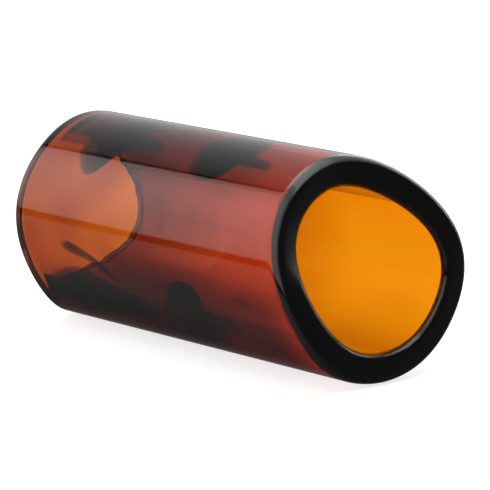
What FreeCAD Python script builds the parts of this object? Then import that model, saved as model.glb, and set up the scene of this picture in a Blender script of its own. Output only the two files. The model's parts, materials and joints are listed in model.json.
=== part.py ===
import FreeCAD, Part
import math
import os

# Heavy-wall glass guitar slide, worn on a finger and rested on the strings.
# The tube's axis lies along X and is horizontal. +X is the knuckle end, whose rim is cut at a slant so
# that the finger can bend. -X is the fingertip end. -Y is the side that faces forward, and +Z is up.
# The origin is the centre of the slide's box, on the tube's axis.
# Angles run round the axis from +Y (0 degrees) through +Z (90 degrees), the front (180) and below (270).
# Lengths are in millimetres and angles in degrees.

# Driving dimensions of the tube
OUTER_RADIUS = 14.0
BORE_RADIUS = 10.0
MEAN_LENGTH = 52.7
BLANK_LENGTH = 90.0

# Each rim runs in and out along the axis as it goes round: (cycles per turn, height, angle of a crest).
# One cycle is the slant of the cut, two is its saddle, and the rest is the hand-finished unevenness.
KNUCKLE_WAVES = ((1, 4.5, 305.0), (2, 1.1, 12.0), (3, 0.27, 5.0), (4, 0.26, 22.0))
TIP_WAVES = ((1, 0.45, 133.0), (2, 0.95, 12.0), (3, 0.72, 102.0), (4, 0.28, 49.0))
WAVE_POINTS = 36

# The rims: a bead of dark glass on each end, rounded in the flame
RIM_THICKNESS = {"knuckle": 1.3, "tip": 0.8}
RIM_OUTER_ROUND = {"knuckle": 1.2, "tip": 1.0}
RIM_INNER_ROUND = {"knuckle": 0.9, "tip": 0.8}

# The streaks: drifts of smoky glass melted flush into the tube's outer wall.
# Each station on a streak's spine is (position along X, angle, half width, depth), where the position is
# counted from the mean plane of the knuckle end.
STREAKS = {
    "streak_top_tip_end": (
        (-40.6, 143.0, 0.8, 0.4),
        (-40.6, 136.0, 2.7, 1.1),
        (-40.6, 127.0, 3.8, 1.4),
        (-40.4, 117.0, 4.8, 1.5),
        (-40.2, 107.0, 5.0, 1.5),
        (-40.2, 98.0, 4.2, 1.3),
        (-40.2, 90.0, 2.6, 0.9),
        (-40.2, 85.0, 0.8, 0.4),
    ),
    "streak_top_knuckle_end": (
        (-20.9, 133.0, 0.8, 0.4),
        (-20.9, 127.0, 3.2, 1.3),
        (-20.8, 117.0, 4.4, 1.5),
        (-20.5, 107.0, 5.0, 1.5),
        (-20.8, 98.0, 4.6, 1.4),
        (-21.4, 90.0, 3.0, 1.0),
        (-21.8, 85.0, 0.8, 0.4),
    ),
    "streak_bottom_tip_end": (
        (-47.6, 218.0, 0.8, 0.4),
        (-46.2, 216.5, 2.2, 0.9),
        (-44.0, 214.6, 3.6, 1.3),
        (-41.0, 213.3, 4.5, 1.5),
        (-37.5, 213.4, 4.4, 1.5),
        (-33.5, 214.8, 3.6, 1.4),
        (-30.0, 215.5, 2.7, 1.2),
        (-27.6, 215.2, 1.6, 0.9),
        (-26.2, 214.6, 0.8, 0.4),
    ),
    "streak_bottom_knuckle_end": (
        (-20.8, 189.5, 0.8, 0.4),
        (-20.6, 194.0, 2.9, 1.2),
        (-20.4, 201.0, 3.9, 1.5),
        (-20.2, 209.0, 5.2, 1.5),
        (-19.7, 218.0, 5.6, 1.5),
        (-19.2, 227.0, 5.0, 1.4),
        (-18.6, 237.0, 3.2, 1.1),
        (-18.0, 245.0, 0.8, 0.4),
    ),
    "streak_fine_tip_end": (
        (-42.6, 183.5, 0.35, 0.25),
        (-41.4, 184.0, 0.65, 0.55),
        (-39.2, 185.8, 0.6, 0.5),
        (-36.6, 189.2, 0.55, 0.5),
        (-34.4, 193.4, 0.55, 0.45),
        (-32.8, 196.8, 0.35, 0.25),
    ),
}

# Working values that don't show on the part
CUT_MARGIN = 3.0
EDGE_SAMPLES = 24
RADIUS_TOLERANCE = 0.02


def wave(waves, angle):
    """How far a rim stands out along +X from its mean plane at one angle round the axis."""
    return sum(height * math.cos(math.radians(cycles * (angle - crest))) for cycles, height, crest in waves)


def wave_extremes(waves):
    heights = [wave(waves, angle) for angle in range(360)]
    return min(heights), max(heights)


def end_planes():
    """The X of the two rims' mean planes, with the whole slide centred on the origin."""
    knuckle_crest = wave_extremes(KNUCKLE_WAVES)[1]
    tip_crest = wave_extremes(TIP_WAVES)[0]
    knuckle = (MEAN_LENGTH - knuckle_crest - tip_crest) / 2
    return knuckle, knuckle - MEAN_LENGTH


def on_cylinder(x, radius, angle):
    turn = math.radians(angle)
    return FreeCAD.Vector(x, radius * math.cos(turn), radius * math.sin(turn))


def rim_curve(waves, plane_x, radius):
    """A closed smooth curve that follows a rim at one radius."""
    step = 360.0 / WAVE_POINTS
    points = [
        on_cylinder(plane_x + wave(waves, i * step), radius, i * step) for i in range(WAVE_POINTS)
    ]
    curve = Part.BSplineCurve()
    curve.interpolate(Points=points, PeriodicFlag=True)
    return curve.toShape()


def beyond_rim(waves, plane_x, outward):
    """A thick ring whose inner face is the rim's cut surface; it holds everything past that cut."""
    inside = rim_curve(waves, plane_x, BORE_RADIUS - CUT_MARGIN)
    outside = rim_curve(waves, plane_x, OUTER_RADIUS + CUT_MARGIN)
    cut_face = Part.makeRuledSurface(inside, outside)
    return cut_face.extrude(FreeCAD.Vector(outward * BLANK_LENGTH / 2, 0, 0))


def along_x(radius):
    start = FreeCAD.Vector(-BLANK_LENGTH / 2, 0, 0)
    return Part.makeCylinder(radius, BLANK_LENGTH, start, FreeCAD.Vector(1, 0, 0))


def rim_edges(shape, radius, towards):
    """The edge of a rim at one radius, on the end that +1 or -1 names."""
    found = []
    for edge in shape.Edges:
        points = edge.discretize(EDGE_SAMPLES)
        on_radius = all(abs(math.hypot(p.y, p.z) - radius) < RADIUS_TOLERANCE for p in points)
        at_end = all(p.x * towards > 0 for p in points)
        goes_round = max(p.y for p in points) - min(p.y for p in points) > radius
        if on_radius and at_end and goes_round:
            found.append(edge)
    return found


def round_rims(tube):
    for end, towards in (("knuckle", 1), ("tip", -1)):
        tube = tube.makeFillet(RIM_OUTER_ROUND[end], rim_edges(tube, OUTER_RADIUS, towards))
        tube = tube.makeFillet(RIM_INNER_ROUND[end], rim_edges(tube, BORE_RADIUS, towards))
    return tube


def spine_frame(stations, index, shift):
    """The centre of a station, the way across the streak, and the way out of the glass."""
    x, angle = stations[index][:2]
    before = stations[max(index - 1, 0)]
    after = stations[min(index + 1, len(stations) - 1)]
    outward = on_cylinder(0, 1, angle)
    round_axis = on_cylinder(0, 1, angle + 90)
    turned = OUTER_RADIUS * math.radians(after[1] - before[1])
    tangent = FreeCAD.Vector(after[0] - before[0], 0, 0) + round_axis * turned
    tangent.normalize()
    return on_cylinder(x + shift, OUTER_RADIUS, angle), outward.cross(tangent), outward


def oval(centre, across, outward, half_width, depth):
    """A closed oval wire, half of it inside the glass; it starts and ends at its outermost point."""
    ellipse = Part.Ellipse(centre + across * half_width, centre + outward * depth, centre)
    quarter = math.pi / 2
    return Part.Wire(Part.ArcOfEllipse(ellipse, quarter, 5 * quarter).toShape())


def streak(stations, shift):
    sections = []
    for index, station in enumerate(stations):
        centre, across, outward = spine_frame(stations, index, shift)
        sections.append(oval(centre, across, outward, station[2], station[3]))
    return Part.makeLoft(sections, True, False)


def single_solid(shape):
    return max(shape.Solids, key=lambda solid: solid.Volume)


def build():
    knuckle_x, tip_x = end_planes()
    blank = along_x(OUTER_RADIUS).cut(along_x(BORE_RADIUS))
    cut = blank.cut(beyond_rim(KNUCKLE_WAVES, knuckle_x, 1)).cut(beyond_rim(TIP_WAVES, tip_x, -1))
    glass = round_rims(single_solid(cut))

    knuckle_seam = beyond_rim(KNUCKLE_WAVES, knuckle_x - RIM_THICKNESS["knuckle"], 1)
    tip_seam = beyond_rim(TIP_WAVES, tip_x + RIM_THICKNESS["tip"], -1)
    nodes = {
        "knuckle_rim": single_solid(glass.common(knuckle_seam)),
        "tip_rim": single_solid(glass.common(tip_seam)),
    }
    tube = single_solid(glass.cut(knuckle_seam).cut(tip_seam))
    for name, stations in STREAKS.items():
        body = streak(stations, knuckle_x)
        nodes[name] = single_solid(tube.common(body))
        tube = single_solid(tube.cut(body))
    nodes["amber_tube"] = tube
    return nodes


os.makedirs("parts", exist_ok=True)
for node_name, solid in build().items():
    solid.exportStep("parts/" + node_name + ".step")
    print(f"{node_name}: volume {solid.Volume:.1f}, valid {solid.isValid()}, faces {len(solid.Faces)}")
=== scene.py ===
import json
import math

import bmesh
import bpy
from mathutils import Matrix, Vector, noise


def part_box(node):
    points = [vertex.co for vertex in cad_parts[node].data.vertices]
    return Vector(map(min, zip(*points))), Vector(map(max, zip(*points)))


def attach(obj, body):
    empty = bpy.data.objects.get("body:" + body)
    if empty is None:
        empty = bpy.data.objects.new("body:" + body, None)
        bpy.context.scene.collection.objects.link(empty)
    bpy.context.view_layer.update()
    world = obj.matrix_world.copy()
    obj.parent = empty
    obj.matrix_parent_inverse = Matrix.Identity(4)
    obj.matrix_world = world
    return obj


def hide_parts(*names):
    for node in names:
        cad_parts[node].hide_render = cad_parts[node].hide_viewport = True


# Looks for the glass guitar slide. Lengths are in millimetres until they reach a mesh. Angles are in
# degrees round the tube's axis X, from +Y (0) through +Z (90), the front (180) and below (270).
MM = 0.001

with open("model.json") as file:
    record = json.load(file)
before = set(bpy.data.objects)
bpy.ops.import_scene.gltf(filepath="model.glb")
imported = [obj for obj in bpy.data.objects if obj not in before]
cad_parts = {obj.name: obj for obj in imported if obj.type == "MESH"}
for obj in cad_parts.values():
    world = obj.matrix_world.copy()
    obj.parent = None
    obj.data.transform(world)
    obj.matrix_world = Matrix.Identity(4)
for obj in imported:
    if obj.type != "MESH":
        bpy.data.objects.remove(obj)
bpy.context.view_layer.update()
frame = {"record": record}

# ---------------------------------------------------------------- the slide's own shape
knuckle_low, knuckle_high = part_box("knuckle_rim")
OUTER_RADIUS = knuckle_high.z / MM
BORE_RADIUS = frame["record"]["mounts"][0]["dims"]["r_mm"]
KNUCKLE_X = 25.493
TIP_X = -27.207

# How a rim runs in and out along the axis: (cycles per turn, height, angle of a crest)
KNUCKLE_WAVES = ((1, 4.5, 305.0), (2, 1.1, 12.0), (3, 0.27, 5.0), (4, 0.26, 22.0))
TIP_WAVES = ((1, 0.45, 133.0), (2, 0.95, 12.0), (3, 0.72, 102.0), (4, 0.28, 49.0))

# The bore isn't a perfect circle: these faint flutes run along it, given in the same terms as the rims
BORE_FLUTES = ((23, 0.0035, 40.0), (37, 0.0022, 11.0), (58, 0.0014, 3.0))

# The rounded ends. The knuckle end's outer round is drawn out along the axis.
OUTER_ROUND = 1.25
INNER_ROUND = 0.95
KNUCKLE_STRETCH = 1.45

# How finely the rings are divided
TURNS = 256
ROUND_STEPS = 12
RUN_STEPS = 8
RUN_MARGIN = 0.3


def wave(waves, angle):
    return sum(height * math.cos(math.radians(cycles * (angle - crest))) for cycles, height, crest in waves)


def place(x, radius, angle):
    """A point of the slide, in metres."""
    turn = math.radians(angle)
    return Vector((x, radius * math.cos(turn), radius * math.sin(turn))) * MM


def arc(centre_x, centre_r, radius, start, end, steps, stretch=1.0):
    """Points of an arc in the (along, radius) plane, drawn out along the axis by stretch."""
    points = []
    for i in range(steps + 1):
        a = math.radians(start + (end - start) * i / steps)
        points.append((centre_x + stretch * radius * math.cos(a), centre_r + radius * math.sin(a)))
    return points


def run(start, end, radius):
    """Rings along a straight wall, with one close to each end so that the wall shades straight."""
    step = 1 if end > start else -1
    first, last = start + step * RUN_MARGIN, end - step * RUN_MARGIN
    return [(first + (last - first) * i / RUN_STEPS, radius) for i in range(RUN_STEPS + 1)]


def loop_faces(start, following, count):
    """Four-sided faces between two loops of count points each."""
    return [(start + k, start + (k + 1) % count, following + (k + 1) % count, following + k)
            for k in range(count)]


def mesh_object(name, verts, faces):
    mesh = bpy.data.meshes.new(name)
    mesh.from_pydata(verts, [], faces)
    bm = bmesh.new()
    bm.from_mesh(mesh)
    bmesh.ops.recalc_face_normals(bm, faces=bm.faces)
    bm.to_mesh(mesh)
    bm.free()
    mesh.polygons.foreach_set("use_smooth", [True] * len(mesh.polygons))
    piece = bpy.data.objects.new(name, mesh)
    bpy.context.scene.collection.objects.link(piece)
    return piece


def revolve(name, profile):
    """A closed ring mesh. profile(angle) gives the section's points (x, radius) at one angle."""
    verts, faces = [], []
    count = len(profile(0.0))
    for i in range(TURNS):
        angle = 360.0 * i / TURNS
        verts += [place(x, radius, angle) for x, radius in profile(angle)]
        faces += loop_faces(i * count, (i + 1) % TURNS * count, count)
    return mesh_object(name, verts, faces)


def tube_profile(angle):
    knuckle = KNUCKLE_X + wave(KNUCKLE_WAVES, angle)
    tip = TIP_X + wave(TIP_WAVES, angle)
    bore = BORE_RADIUS + wave(BORE_FLUTES, angle)
    outer, inner = OUTER_RADIUS - OUTER_ROUND, bore + INNER_ROUND
    shoulder = knuckle - KNUCKLE_STRETCH * OUTER_ROUND
    section = arc(shoulder, outer, OUTER_ROUND, 90, 0, 2 * ROUND_STEPS, KNUCKLE_STRETCH)
    section += arc(knuckle - INNER_ROUND, inner, INNER_ROUND, 0, -90, ROUND_STEPS)
    section += run(knuckle - INNER_ROUND, tip + INNER_ROUND, bore)
    section += arc(tip + INNER_ROUND, inner, INNER_ROUND, -90, -180, ROUND_STEPS)
    section += arc(tip + OUTER_ROUND, outer, OUTER_ROUND, 180, 90, ROUND_STEPS)
    section += run(tip + OUTER_ROUND, shoulder, OUTER_RADIUS)
    return section


tube = revolve("tube_glass", tube_profile)

# ---------------------------------------------------------------- the dark rims, painted shade
# Each rim is a ring of near-black absorbing glass just under the surface of the clear amber skin. It is
# painted shade: the slide is amber glass all through, and its ends look black because light runs lengthwise
# through the wall and the end faces reflect only the dark side of the studio.
SKIN = 0.07
KNUCKLE_RIM_THICKNESS = 1.4
TIP_RIM_THICKNESS = 0.28


def rim_profile(end_x, thickness, towards, stretch):
    """Section of a rim ring: the tube's own rounded end, one skin further in, cut off behind."""
    outer_round, inner_round = OUTER_ROUND - SKIN, INNER_ROUND - SKIN
    face = end_x - SKIN
    back = end_x - thickness
    section = arc(face - stretch * outer_round, OUTER_RADIUS - OUTER_ROUND, outer_round, 90, 0,
                  2 * ROUND_STEPS, stretch)
    section += arc(face - inner_round, BORE_RADIUS + INNER_ROUND, inner_round, 0, -90, ROUND_STEPS)
    section = [(x, radius) for x, radius in section if x > back + SKIN]
    section += [(back, section[-1][1] + SKIN), (back, section[0][1] - SKIN)]
    if towards < 0:
        section = [(2 * end_x - x, radius) for x, radius in section]
    return section


def knuckle_rim_profile(angle):
    return rim_profile(KNUCKLE_X + wave(KNUCKLE_WAVES, angle), KNUCKLE_RIM_THICKNESS, 1, KNUCKLE_STRETCH)


def tip_rim_profile(angle):
    return rim_profile(TIP_X + wave(TIP_WAVES, angle), TIP_RIM_THICKNESS, -1, 1.0)


# Painted shade: these rings darken the ends of the amber tube
knuckle_shade_ring = revolve("knuckle_rim_painted_shade", knuckle_rim_profile)
tip_shade_ring = revolve("tip_rim_painted_shade", tip_rim_profile)

# ---------------------------------------------------------------- the smoky streaks
# Stations along each streak's spine: (position from the knuckle end's mean plane, angle, half width, depth,
# lean). Lean makes the glass thicker on one side of the spine than on the other.
STREAKS = {
    "streak_top_tip_end": (
        (-40.6, 143.5, 0.5, 0.20, 0.0), (-40.6, 140.0, 1.8, 0.85, 0.1), (-40.6, 134.0, 2.9, 1.20, 0.2),
        (-40.6, 127.0, 3.8, 1.20, 0.4), (-40.2, 117.0, 4.3, 1.20, 0.6), (-39.5, 108.0, 4.2, 1.15, 0.7),
        (-38.8, 99.0, 3.5, 0.90, 0.6), (-38.2, 91.0, 2.3, 0.50, 0.3), (-37.8, 86.0, 0.5, 0.15, 0.0)),
    "streak_top_knuckle_end": (
        (-20.9, 133.5, 0.5, 0.20, 0.0), (-20.9, 130.5, 2.5, 1.00, 0.0), (-20.9, 126.0, 3.5, 1.45, 0.0),
        (-20.8, 117.0, 4.4, 1.50, 0.0), (-20.5, 107.0, 5.0, 1.40, 0.0), (-20.8, 98.0, 4.6, 1.10, 0.0),
        (-21.4, 90.0, 3.0, 0.60, 0.0), (-21.8, 85.0, 0.5, 0.15, 0.0)),
    "streak_bottom_tip_end": (
        (-47.6, 218.0, 0.6, 0.15, 0.0), (-46.6, 217.0, 2.0, 0.60, 0.0), (-44.8, 214.0, 3.1, 0.90, 0.2),
        (-42.0, 212.0, 4.1, 1.20, 0.3), (-39.0, 211.5, 4.4, 1.25, 0.3), (-36.0, 212.5, 3.9, 1.10, 0.3),
        (-33.0, 213.5, 3.2, 1.00, 0.2), (-30.0, 214.5, 2.5, 0.80, 0.0), (-27.4, 214.5, 1.5, 0.60, 0.0),
        (-26.0, 214.0, 0.5, 0.15, 0.0)),
    "streak_bottom_knuckle_end": (
        (-20.8, 189.5, 0.6, 0.15, 0.0), (-20.7, 192.0, 2.4, 1.00, 0.0), (-20.5, 196.0, 3.4, 1.50, 0.0),
        (-20.4, 201.0, 3.9, 1.10, 0.0), (-20.2, 209.0, 5.0, 0.65, 0.0), (-19.7, 218.0, 5.2, 0.50, 0.0),
        (-19.2, 227.0, 4.4, 0.32, 0.0), (-18.6, 237.0, 2.8, 0.20, 0.0), (-18.0, 245.0, 0.6, 0.10, 0.0)),
    "streak_fine_tip_end": (
        (-42.8, 183.4, 0.25, 0.10, 0.0), (-41.4, 184.0, 0.75, 0.65, 0.0), (-39.4, 185.6, 0.70, 0.60, 0.0),
        (-37.2, 188.2, 0.60, 0.55, 0.0), (-35.2, 191.8, 0.65, 0.60, 0.0), (-33.6, 195.0, 0.55, 0.50, 0.0),
        (-32.4, 197.4, 0.25, 0.10, 0.0)),
}
STREAK_SKIN = 0.08
STREAK_RINGS = 72
STREAK_STEPS = 40
SPINE_STEP = 0.01

# How ragged a streak's edge is, how cloudy its inside is, and how fast each varies
WISP = 0.16
WISP_ALONG = 3.0
WISP_ACROSS = 0.6
WISP_SEED = 7.3
CLOUD = 0.35
CLOUD_ALONG = 0.5
CLOUD_ROUND = 0.12
SEED_STEP = 5.0

# A streak thins towards its edge as this power of a parabola. Streaks and haze keep at least the second
# value, so that their two faces never touch.
EDGE_POWER = 0.8
LEAST_THICKNESS = 0.004


def between(stations, share):
    """A smooth reading of the stations at share (0 to 1) of the way along the spine."""
    place_on = share * (len(stations) - 1)
    i = min(int(place_on), len(stations) - 2)
    t = place_on - i
    rows = [stations[max(0, min(len(stations) - 1, i + k))] for k in (-1, 0, 1, 2)]
    read = []
    for a, b, c, d in zip(*rows):
        read.append(0.5 * (2 * b + (c - a) * t + (2 * a - 5 * b + 4 * c - d) * t * t
                           + (3 * b - a - 3 * c + d) * t ** 3))
    return read


def streak_mesh(name, stations, seed):
    """A lens of glass under the outer wall: it thins out to nothing round its ragged edge."""
    verts, faces = [], []
    # Across the spine, the positive side is the same one all along a streak
    angle_falls = stations[-1][1] < stations[0][1]
    for ring in range(STREAK_RINGS + 1):
        share = ring / STREAK_RINGS
        x, angle, width, depth, lean = between(stations, share)
        ahead = between(stations, min(1.0, share + SPINE_STEP))
        behind = between(stations, max(0.0, share - SPINE_STEP))
        along = Vector((ahead[0] - behind[0], OUTER_RADIUS * math.radians(ahead[1] - behind[1])))
        along.normalize()
        across = Vector((-along.y, along.x)) if angle_falls else Vector((along.y, -along.x))
        outer, inner = [], []
        for step in range(STREAK_STEPS + 1):
            side = 2 * step / STREAK_STEPS - 1
            edge = WISP * noise.noise(Vector((seed + WISP_ALONG * share, side * WISP_ACROSS, WISP_SEED)))
            reach = side * width * (1 + edge)
            at_x = KNUCKLE_X + x + across.x * reach
            at_angle = angle + math.degrees(across.y * reach / OUTER_RADIUS)
            cloud = 1 + CLOUD * noise.noise(Vector((at_x * CLOUD_ALONG, at_angle * CLOUD_ROUND, seed)))
            taper = (1 - side * side) ** EDGE_POWER * (1 + lean * side) * cloud
            thickness = max(0.0, depth * taper) + LEAST_THICKNESS
            outer.append(place(at_x, OUTER_RADIUS - STREAK_SKIN, at_angle))
            inner.append(place(at_x, OUTER_RADIUS - STREAK_SKIN - thickness, at_angle))
        verts += outer + inner[::-1]
    loop = 2 * (STREAK_STEPS + 1)
    for ring in range(STREAK_RINGS):
        faces += loop_faces(ring * loop, (ring + 1) * loop, loop)
    for ring in (0, STREAK_RINGS):
        a = ring * loop
        faces += [(a + k, a + k + 1, a + loop - 2 - k, a + loop - 1 - k) for k in range(STREAK_STEPS)]
    return mesh_object(name, verts, faces)


streaks = {name: streak_mesh(name + "_smoke", stations, SEED_STEP * i)
           for i, (name, stations) in enumerate(STREAKS.items())}

# ---------------------------------------------------------------- the brown haze inside the wall
# The haze is a thin sleeve of brown inside the wall, which stops short of both ends
HAZE_OUTER = 12.2
HAZE_RINGS = 100
HAZE_START = 1.8
HAZE_END = 0.75

# It deepens towards the tip: (greatest depth, where it starts, how far on it reaches that depth)
HAZE_TIPWARD = (0.95, -13.0, 34.0)
# A drift of it lies low on the front: its depth, then where it fades in and out, by angle and along X
DRIFT_DEPTH = 0.90
DRIFT_ANGLES = ((178.0, 202.0), (238.0, 268.0))
DRIFT_PLACES = ((-38.0, -30.0), (-9.0, -1.0))
# Small darker spots in the haze: (position, angle, half length, half width in degrees, depth)
HAZE_SPOTS = ((-11.0, 196.5, 1.3, 2.2, 0.7), (-25.4, 163.5, 0.7, 2.4, 0.55))
HAZE_CLOUD = 0.3
HAZE_CLOUD_ALONG = 0.16
HAZE_CLOUD_ROUND = 2.0


def ease(value, low, high):
    t = max(0.0, min(1.0, (value - low) / (high - low)))
    return t * t * (3 - 2 * t)


def within(value, rise, fall):
    """1 between the rise and the fall, and 0 outside them."""
    return ease(value, *rise) * (1 - ease(value, *fall))


def haze_thickness(x, angle):
    """How thick the haze is at a position from the knuckle end's mean plane and an angle."""
    depth, start, length = HAZE_TIPWARD
    tipward = depth * max(0.0, min(1.0, (start - x) / length))
    drift = DRIFT_DEPTH * within(angle, *DRIFT_ANGLES) * within(x, *DRIFT_PLACES)
    for at_x, at_angle, half_length, half_width, spot_depth in HAZE_SPOTS:
        drift += spot_depth * math.exp(-((x - at_x) / half_length) ** 2
                                       - ((angle - at_angle) / half_width) ** 2)
    cloud = 1 + HAZE_CLOUD * noise.noise(Vector((x * HAZE_CLOUD_ALONG,
                                                 HAZE_CLOUD_ROUND * math.cos(math.radians(angle)),
                                                 HAZE_CLOUD_ROUND * math.sin(math.radians(angle)))))
    return LEAST_THICKNESS + (tipward + drift) * cloud


def haze_profile(angle):
    start = wave(KNUCKLE_WAVES, angle) - HAZE_START
    end = TIP_X - KNUCKLE_X + wave(TIP_WAVES, angle) + HAZE_END
    places = [start + (end - start) * i / HAZE_RINGS for i in range(HAZE_RINGS + 1)]
    outside = [(KNUCKLE_X + x, HAZE_OUTER) for x in places]
    inside = [(KNUCKLE_X + x, HAZE_OUTER - haze_thickness(x, angle)) for x in places]
    return outside + inside[::-1]


haze = revolve("tube_haze", haze_profile)

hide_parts("amber_tube")
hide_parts("amber_tube")
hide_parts("knuckle_rim")
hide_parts("tip_rim")
for name, piece in streaks.items():
    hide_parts(name)
for piece, slot in ([(tube, "amber_glass"), (haze, "amber_glass"), (knuckle_shade_ring, "rim_glass"),
                     (tip_shade_ring, "rim_glass")] + [(piece, "smoke_glass") for piece in streaks.values()]):
    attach(piece, "root")

# ---------------------------------------------------------------- materials
# The dark bodies and the haze lie inside the amber glass, so they take no refraction of their own
AMBER_IOR = 1.5
EMBEDDED_IOR = 1.0
WAVINESS_SCALE = 140.0
WAVINESS_DISTANCE = 0.00001
WAVINESS_DETAIL = 2.0


def glass(name, ior, colour, density):
    """Clear glass that takes its colour from the depth that light crosses. Density is per metre."""
    material = bpy.data.materials.new(name)
    material.use_nodes = True
    tree = material.node_tree
    shader = tree.nodes["Principled BSDF"]
    shader.inputs["Base Color"].default_value = (1, 1, 1, 1)
    shader.inputs["Roughness"].default_value = 0.0
    shader.inputs["IOR"].default_value = ior
    shader.inputs["Transmission Weight"].default_value = 1.0
    absorption = tree.nodes.new("ShaderNodeVolumeAbsorption")
    absorption.inputs["Color"].default_value = (*colour, 1)
    absorption.inputs["Density"].default_value = density
    tree.links.new(absorption.outputs["Volume"], tree.nodes["Material Output"].inputs["Volume"])
    return material


def add_waviness(material):
    """The slight unevenness of hand-worked glass."""
    tree = material.node_tree
    texture = tree.nodes.new("ShaderNodeTexNoise")
    texture.inputs["Scale"].default_value = WAVINESS_SCALE
    texture.inputs["Detail"].default_value = WAVINESS_DETAIL
    where = tree.nodes.new("ShaderNodeTexCoord")
    tree.links.new(where.outputs["Object"], texture.inputs["Vector"])
    bump = tree.nodes.new("ShaderNodeBump")
    bump.inputs["Strength"].default_value = 1.0
    bump.inputs["Distance"].default_value = WAVINESS_DISTANCE
    tree.links.new(texture.outputs["Fac"], bump.inputs["Height"])
    tree.links.new(bump.outputs["Normal"], tree.nodes["Principled BSDF"].inputs["Normal"])


amber = glass("amber_glass", AMBER_IOR, colour=(0.9357, 0.750, 0.071), density=1400.0)
add_waviness(amber)
haze_glass = glass("haze_glass", EMBEDDED_IOR, colour=(0.7, 0.45, 0.3), density=3000.0)
# Painted shade: the rim rings' near-black absorption stands in for the darkness of the amber ends
rim_glass = glass("rim_glass", EMBEDDED_IOR, colour=(0.02, 0.01, 0.01), density=7000.0)
tip_shade_glass = glass("tip_shade_glass", EMBEDDED_IOR, colour=(0.2, 0.1, 0.1), density=1300.0)
smoke_glass = glass("smoke_glass", EMBEDDED_IOR, colour=(0.05, 0.03, 0.03), density=2600.0)
tube.data.materials.append(amber)
haze.data.materials.append(haze_glass)
knuckle_shade_ring.data.materials.append(rim_glass)
tip_shade_ring.data.materials.append(tip_shade_glass)
for piece in streaks.values():
    piece.data.materials.append(smoke_glass)

# ---------------------------------------------------------------- floor
# The floor's size is in metres
FLOOR_REACH = 4
FLOOR_GREY = 0.45
FLOOR_GLOW = 0.75

floor_z = knuckle_low.z
floor = mesh_object("floor", [(-FLOOR_REACH, -FLOOR_REACH, floor_z), (FLOOR_REACH, -FLOOR_REACH, floor_z),
                              (FLOOR_REACH, FLOOR_REACH, floor_z), (-FLOOR_REACH, FLOOR_REACH, floor_z)],
                    [(0, 1, 2, 3)])
floor_paint = bpy.data.materials.new("floor_paint")
floor_paint.use_nodes = True
paint = floor_paint.node_tree.nodes["Principled BSDF"]
paint.inputs["Base Color"].default_value = (FLOOR_GREY, FLOOR_GREY, FLOOR_GREY, 1)
paint.inputs["Roughness"].default_value = 0.9
paint.inputs["Specular IOR Level"].default_value = 0.0
paint.inputs["Emission Color"].default_value = (1, 1, 1, 1)
paint.inputs["Emission Strength"].default_value = FLOOR_GLOW
floor.data.materials.append(floor_paint)
floor.visible_glossy = False

# ---------------------------------------------------------------- light
# The studio is a white tent whose edges run along the slide. Its brightness is given by the angle round
# the X axis, from straight ahead of the slide's front (0) up over the top (90) to the back (180).
TENT = ((-180, 0.5), (-140, 0.10), (-115, 0.08), (-90, 0.16), (-60, 0.36), (-30, 0.46), (-13, 0.56),
        (-6, 0.68), (-3, 0.68), (-1.8, 0.08), (4.2, 0.10), (5.6, 1.6), (10, 1.78), (22, 2.05), (35, 2.3),
        (50, 2.5), (62, 2.45), (70, 2.15), (76, 1.8), (80.6, 1.5), (81.6, 0.06), (83.4, 0.06), (84.6, 0.42),
        (98, 0.60), (118, 0.75), (142, 0.88), (165, 0.95), (180, 1.0))
TENT_PEAK = 2.5

# Towards the knuckle end (+X) the tent gives way to a dark side, between these two directions along X
DARK_SIDE = 0.15
DARK_FROM, DARK_FULL = 0.15, 0.65

# A second light stands at the back of the tent. From the camera, it shows in the slide's rounded rims. Along
# X it comes in over the first pair of directions and goes out over the second.
BACK_LIGHT = ((-180, 0.0), (78, 0.0), (86, 3.4), (104, 3.2), (118, 2.0), (130, 0.5), (138, 0.8), (146, 2.2),
              (160, 3.2), (165, 1.0), (171, 0.0), (180, 0.0))
BACK_PEAK = 4.0
BACK_IN = (-0.66, -0.58)
BACK_OUT = (0.35, 0.6)

world = bpy.data.worlds.new("tent")
bpy.context.scene.world = world
world.use_nodes = True
sky = world.node_tree
sky.nodes.clear()


def math_node(operation, a, b=None, c=None):
    made = sky.nodes.new("ShaderNodeMath")
    made.operation = operation
    for socket, value in zip(made.inputs, (a, b, c)):
        if value is None:
            continue
        if isinstance(value, (int, float)):
            socket.default_value = value
        else:
            sky.links.new(value, socket)
    return made.outputs[0]


def mix_node(factor, a, b):
    """Moves from a to the plain number b as factor goes from 0 to 1."""
    made = sky.nodes.new("ShaderNodeMix")
    made.data_type = "FLOAT"
    sky.links.new(factor, made.inputs["Factor"])
    sky.links.new(a, made.inputs["A"])
    made.inputs["B"].default_value = b
    return made.outputs["Result"]


direction = sky.nodes.new("ShaderNodeTexCoord").outputs["Generated"]
split = sky.nodes.new("ShaderNodeSeparateXYZ")
sky.links.new(direction, split.inputs[0])
front = math_node("MULTIPLY", split.outputs["Y"], -1.0)
turn = math_node("ARCTAN2", split.outputs["Z"], front)
turn_share = math_node("MULTIPLY_ADD", turn, 0.5 / math.pi, 0.5)


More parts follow.
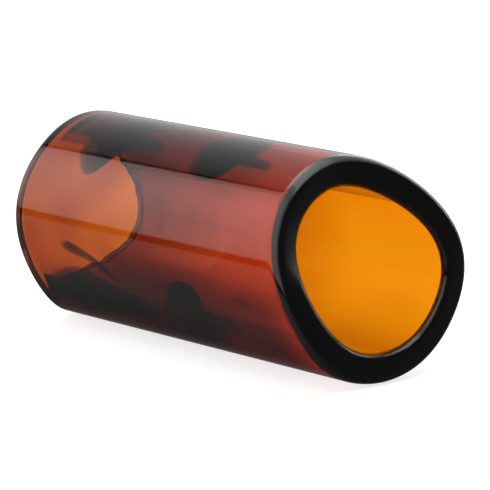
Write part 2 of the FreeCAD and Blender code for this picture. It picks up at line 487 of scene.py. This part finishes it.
def light_ramp(stations, peak):
    """Light as a function of the angle round X."""
    ramp = sky.nodes.new("ShaderNodeValToRGB")
    sky.links.new(turn_share, ramp.inputs[0])
    stops = ramp.color_ramp.elements
    for i, (angle, level) in enumerate(stations):
        position = 0.5 + angle / 360
        stop = stops[i] if i < 2 else stops.new(position)
        stop.position = position
        value = level / peak
        stop.color = (value, value, value, 1)
    return math_node("MULTIPLY", ramp.outputs["Color"], peak)


def along_axis(low, high):
    """Rises smoothly from 0 to 1 as a direction turns from low to high along X."""
    rise = sky.nodes.new("ShaderNodeMapRange")
    rise.interpolation_type = "SMOOTHSTEP"
    sky.links.new(split.outputs["X"], rise.inputs["Value"])
    rise.inputs["From Min"].default_value = low
    rise.inputs["From Max"].default_value = high
    return rise.outputs["Result"]


tent = mix_node(along_axis(DARK_FROM, DARK_FULL), light_ramp(TENT, TENT_PEAK), DARK_SIDE)
back = math_node("MULTIPLY", light_ramp(BACK_LIGHT, BACK_PEAK), along_axis(*BACK_IN))
back = math_node("MULTIPLY", back, math_node("SUBTRACT", 1.0, along_axis(*BACK_OUT)))
lit = math_node("ADD", tent, back)
# Seen directly, the background is plain white
path = sky.nodes.new("ShaderNodeLightPath")
seen = mix_node(path.outputs["Is Camera Ray"], lit, 1.0)
background = sky.nodes.new("ShaderNodeBackground")
sky.links.new(seen, background.inputs["Strength"])
world_out = sky.nodes.new("ShaderNodeOutputWorld")
sky.links.new(background.outputs[0], world_out.inputs["Surface"])

# ---------------------------------------------------------------- camera and render settings
camera = bpy.data.objects.new("camera", bpy.data.cameras.new("camera"))
bpy.context.scene.collection.objects.link(camera)
camera.location = Vector((0.2479, -0.24614, 0.07751))
view_direction = Vector((-0.68806, 0.69210, -0.21810))
camera.rotation_euler = view_direction.to_track_quat("-Z", "Y").to_euler()
camera.data.sensor_width = 36.0
camera.data.lens = 201.26
camera.data.clip_start = 0.01
bpy.context.scene.camera = camera

scene = bpy.context.scene
scene.view_settings.view_transform = "Standard"
scene.cycles.max_bounces = 32
scene.cycles.transmission_bounces = 32
scene.cycles.glossy_bounces = 16
